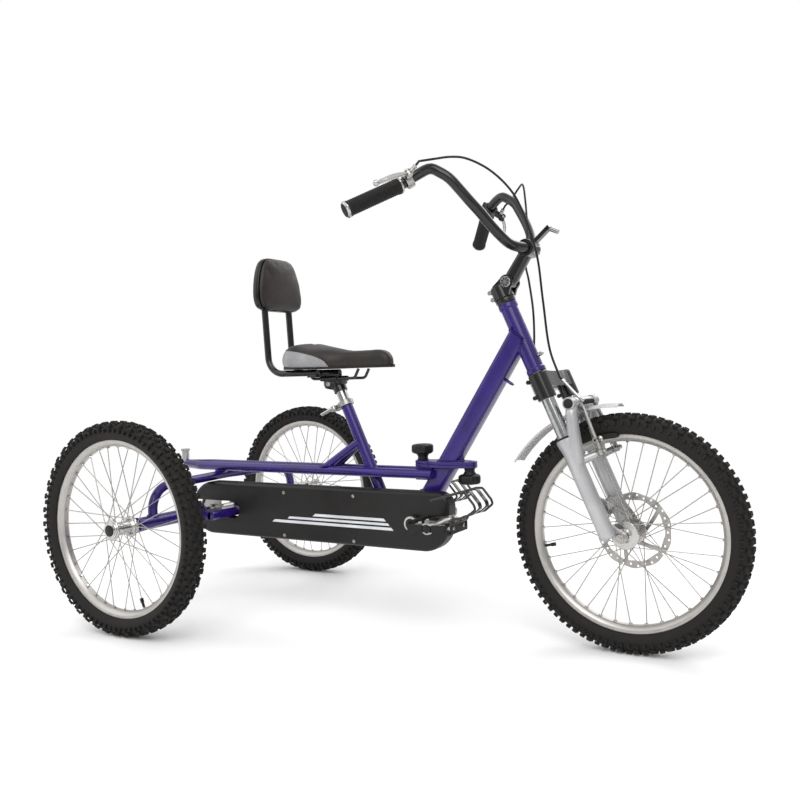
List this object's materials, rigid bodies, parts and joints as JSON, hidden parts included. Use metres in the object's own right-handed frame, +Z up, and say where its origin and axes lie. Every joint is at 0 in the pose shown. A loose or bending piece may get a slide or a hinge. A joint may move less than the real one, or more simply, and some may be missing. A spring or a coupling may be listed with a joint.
{
  "type": "adaptive tricycle",
  "caption": "Adaptive pedal tricycle with a low step-through frame, sprung fork, covered chain drive, toe-caged pedals, saddle with backrest and a high swept handlebar.",
  "frame": {"origin": "on the ground at the middle of the tricycle's footprint", "axes": "+X points forwards, +Y to the rider's left, +Z up"},
  "size_m": [1.5868, 0.77, 1.0274],
  "materials": {
    "frame_paint": "gloss violet paint",
    "black_paint": "satin black paint",
    "black_plastic": "moulded black",
    "grip_rubber": "matt black",
    "tyre_rubber": "black rubber with a small block tread",
    "vinyl": "padded black and grey vinyl",
    "alloy": "brushed silver",
    "silver_paint": "silver paint",
    "chrome_steel": "polished",
    "chain_steel": "oiled steel"
  },
  "bodies": {
    "frame": {"front_beam": "frame_paint", "lower_beam": "frame_paint", "rail_right": "frame_paint", "rail_left": "frame_paint", "seat_tube": "frame_paint", "rear_arch": "frame_paint", "axle_housing": "frame_paint", "rear_post": "chrome_steel", "chain_guard": "black_plastic", "chain_guard_back": "black_plastic", "chain": "chain_steel", "headset_upper": "black_paint", "headset_lower": "black_paint", "seat_collar": "black_paint"},
    "rear_drive": {"rear_axle": "alloy", "right_tyre": "tyre_rubber", "right_rim": "alloy", "right_hub": "alloy"},
    "left_wheel": {"left_tyre": "tyre_rubber", "left_rim": "alloy", "left_hub": "alloy"},
    "crank": {"crank_spindle": "chain_steel", "crank_arm_right": "alloy", "crank_arm_left": "alloy"},
    "pedal_right": {"pedal_right": "alloy", "toe_cage_right": "black_paint"},
    "pedal_left": {"pedal_left": "alloy", "toe_cage_left": "black_paint"},
    "steering": {"fork_crown": "black_paint", "stem_base": "black_paint", "rim_brake_cable": "grip_rubber", "disc_brake_cable": "grip_rubber"},
    "fork_slider": {"fork_lowers": "silver_paint", "mudguard": "silver_paint", "disc_caliper": "alloy"},
    "front_wheel": {"front_tyre": "tyre_rubber", "front_rim": "alloy", "front_hub": "alloy", "disc_rotor": "chrome_steel"},
    "brake_arm_right": {"brake_arm_right": "alloy"},
    "brake_arm_left": {"brake_arm_left": "alloy"},
    "cockpit": {"stem_arm": "black_paint", "handlebar": "black_paint", "accessory_bracket": "black_paint", "grip_right": "grip_rubber", "grip_left": "grip_rubber", "lever_body_right": "black_plastic", "lever_body_left": "black_plastic"},
    "lever_right": {"lever_blade_right": "alloy"},
    "lever_left": {"lever_blade_left": "alloy"},
    "lock_button": {"lock_button": "alloy"},
    "seat": {"seat_post": "chrome_steel", "saddle_rails": "black_paint", "saddle": "vinyl", "backrest_tubes": "black_paint", "backrest_pad": "vinyl", "backrest_shell": "black_plastic"},
    "seat_lever": {"seat_lever": "chrome_steel"},
    "knob_rear": {"knob_rear": "black_plastic"},
    "knob_front": {"knob_front": "black_plastic"}
  },
  "joints": [
    {"name": "rear_axle_spin", "type": "hinge", "parent": "frame", "child": "rear_drive", "pos_m": [-0.545, 0, 0.24843], "axis": [0, 1, 0], "continuous": true},
    {"name": "left_wheel_spin", "type": "hinge", "parent": "frame", "child": "left_wheel", "pos_m": [-0.545, 0.351, 0.24843], "axis": [0, 1, 0], "continuous": true},
    {"name": "crank_spin", "type": "hinge", "parent": "frame", "child": "crank", "pos_m": [0.077, 0, 0.254], "axis": [0, 1, 0], "continuous": true},
    {"name": "pedal_right_spin", "type": "hinge", "parent": "crank", "child": "pedal_right", "pos_m": [0.18098, -0.156, 0.26861], "axis": [0, 1, 0], "continuous": true},
    {"name": "pedal_left_spin", "type": "hinge", "parent": "crank", "child": "pedal_left", "pos_m": [-0.02698, 0.156, 0.23939], "axis": [0, 1, 0], "continuous": true},
    {"name": "steering_turn", "type": "hinge", "parent": "frame", "child": "steering", "pos_m": [0.34825, 0, 0.58235], "axis": [-0.4051, 0, 0.9143], "range_deg": [-45, 45]},
    {"name": "fork_slide", "type": "slide", "parent": "steering", "child": "fork_slider", "axis": [-0.4051, 0, 0.9143], "range_m": [0, 0.05], "stiffness_N_per_m": 10000, "springref_m": -0.05, "deforming": ["rim_brake_cable", "disc_brake_cable"]},
    {"name": "front_wheel_spin", "type": "hinge", "parent": "fork_slider", "child": "front_wheel", "pos_m": [0.545, 0, 0.24843], "axis": [0, 1, 0], "continuous": true},
    {"name": "brake_arm_right_swing", "type": "hinge", "parent": "fork_slider", "child": "brake_arm_right", "pos_m": [0.50585, -0.05, 0.41921], "axis": [-0.9143, 0, -0.4051], "range_deg": [0, 4.6], "deforming": ["rim_brake_cable"]},
    {"name": "brake_arm_left_swing", "type": "hinge", "parent": "fork_slider", "child": "brake_arm_left", "pos_m": [0.50585, 0.05, 0.41921], "axis": [0.9143, 0, 0.4051], "range_deg": [0, 4.6]},
    {"name": "stem_tilt", "type": "hinge", "parent": "steering", "child": "cockpit", "pos_m": [0.288, 0, 0.78], "axis": [0, 1, 0], "range_deg": [-30, 30], "deforming": ["rim_brake_cable", "disc_brake_cable"]},
    {"name": "lever_right_pull", "type": "hinge", "parent": "cockpit", "child": "lever_right", "pos_m": [0.17065, -0.2194, 0.98915], "axis": [0.5368, 0.0968, -0.8382], "range_deg": [0, 18], "stiffness_Nm_per_rad": 0.5, "springref_deg": -11.46},
    {"name": "lever_left_pull", "type": "hinge", "parent": "cockpit", "child": "lever_left", "pos_m": [0.17739, 0.20854, 0.9628], "axis": [0.1162, 0.5808, 0.8057], "range_deg": [0, 18], "stiffness_Nm_per_rad": 0.5, "springref_deg": -11.46},
    {"name": "lock_button_press", "type": "slide", "parent": "cockpit", "child": "lock_button", "axis": [0.5368, 0.0968, -0.8382], "range_m": [0, 0.003], "stiffness_N_per_m": 300, "springref_m": -0.002},
    {"name": "seat_height", "type": "slide", "parent": "frame", "child": "seat", "axis": [-0.4099, 0, 0.9121], "range_m": [-0.02, 0.08]},
    {"name": "seat_lever_open", "type": "hinge", "parent": "frame", "child": "seat_lever", "pos_m": [-0.1807, -0.015, 0.50742], "axis": [-0.4099, 0, 0.9121], "range_deg": [0, 100]},
    {"name": "knob_rear_turn", "type": "hinge", "parent": "frame", "child": "knob_rear", "pos_m": [0.058, 0, 0.4], "axis": [0, 0, 1], "continuous": true},
    {"name": "knob_front_turn", "type": "hinge", "parent": "frame", "child": "knob_front", "pos_m": [0.179, 0, 0.35], "axis": [0, 0, 1], "continuous": true}
  ],
  "couplings": [
    {"joint": "crank_spin", "follows": "rear_axle_spin", "ratio": 0.64286},
    {"joint": "brake_arm_right_swing", "follows": "lever_right_pull", "ratio": 0.25},
    {"joint": "brake_arm_left_swing", "follows": "lever_right_pull", "ratio": 0.25}
  ]
}
